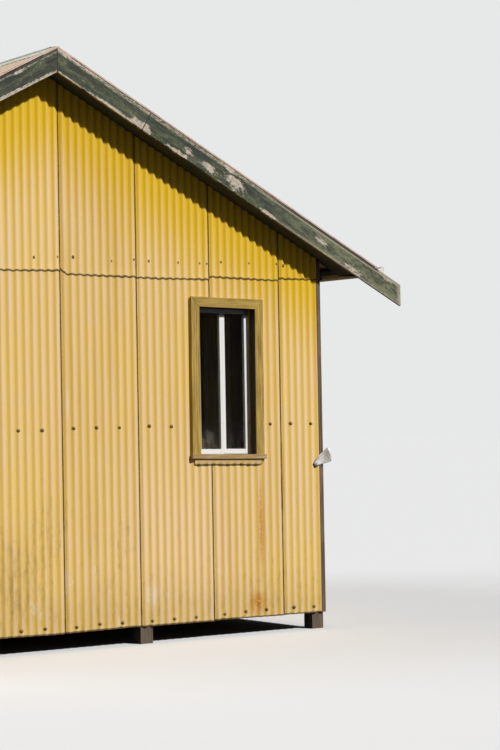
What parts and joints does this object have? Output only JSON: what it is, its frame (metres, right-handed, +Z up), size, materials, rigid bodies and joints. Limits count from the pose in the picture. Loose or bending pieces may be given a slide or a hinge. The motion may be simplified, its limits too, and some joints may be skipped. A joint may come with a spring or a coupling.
{
  "type": "corrugated iron cabin",
  "caption": "Small gabled cabin clad in yellow corrugated iron, with green barge boards, timber-framed casement windows and a low iron roof.",
  "frame": {"origin": "ground level below the middle of the plan", "axes": "+Z up; X across the gables, the pictured gable facing -Y; Y along the ridge"},
  "size_m": [7.3088, 6.5806, 5.1218],
  "materials": {
    "wall_iron": "chalky yellow paint on corrugated iron, faded on the crests",
    "roof_iron": "weathered cream paint on corrugated iron",
    "capping": "dull pale paint on bent sheet metal",
    "barge_paint": "faded grey-green paint with flaked patches",
    "trim_paint": "weathered olive-mustard paint, grain showing",
    "door_paint": "weathered olive-mustard paint on boards",
    "sash_paint": "white gloss paint",
    "window_glass": "clear old glass over a dark room",
    "gutter_metal": "dull off-white paint on sheet metal",
    "corner_timber": "bare weathered grey-brown timber",
    "lining_timber": "dark faded paint on lining boards",
    "knob_metal": "dull aged brass",
    "flashing_metal": "bare dull sheet metal",
    "stump_timber": "dark rough timber",
    "frame_timber": "rough-sawn hardwood"
  },
  "bodies": {
    "root": {"back_barges": "barge_paint", "back_frame": "frame_timber", "back_lower_iron": "wall_iron", "back_sashes": "sash_paint", "back_upper_iron": "wall_iron", "back_window_casings": "trim_paint", "bearers": "frame_timber", "ceiling_ties": "frame_timber", "corner_flashing": "flashing_metal", "corner_stops": "corner_timber", "door": "door_paint", "door_casing": "trim_paint", "door_knob": "knob_metal", "floor": "frame_timber", "front_frame": "frame_timber", "front_left_barge": "barge_paint", "front_lower_iron": "wall_iron", "front_right_barge": "barge_paint", "front_sashes": "sash_paint", "front_upper_iron": "wall_iron", "front_window_casings": "trim_paint", "glass_panes": "window_glass", "joists": "frame_timber", "left_frame": "frame_timber", "left_gutter": "gutter_metal", "left_iron": "wall_iron", "left_purlins": "frame_timber", "left_rafters": "frame_timber", "left_roof_iron": "roof_iron", "left_sashes": "sash_paint", "left_window_casings": "trim_paint", "ridge_board": "frame_timber", "ridge_cap": "capping", "right_frame": "frame_timber", "right_gutter": "gutter_metal", "right_iron": "wall_iron", "right_purlins": "frame_timber", "right_rafters": "frame_timber", "right_roof_iron": "roof_iron", "right_sashes": "sash_paint", "right_window_casings": "trim_paint", "sill_flashings": "wall_iron", "stumps": "stump_timber", "verge_caps": "capping", "verge_linings": "lining_timber"}
  },
  "joints": []
}
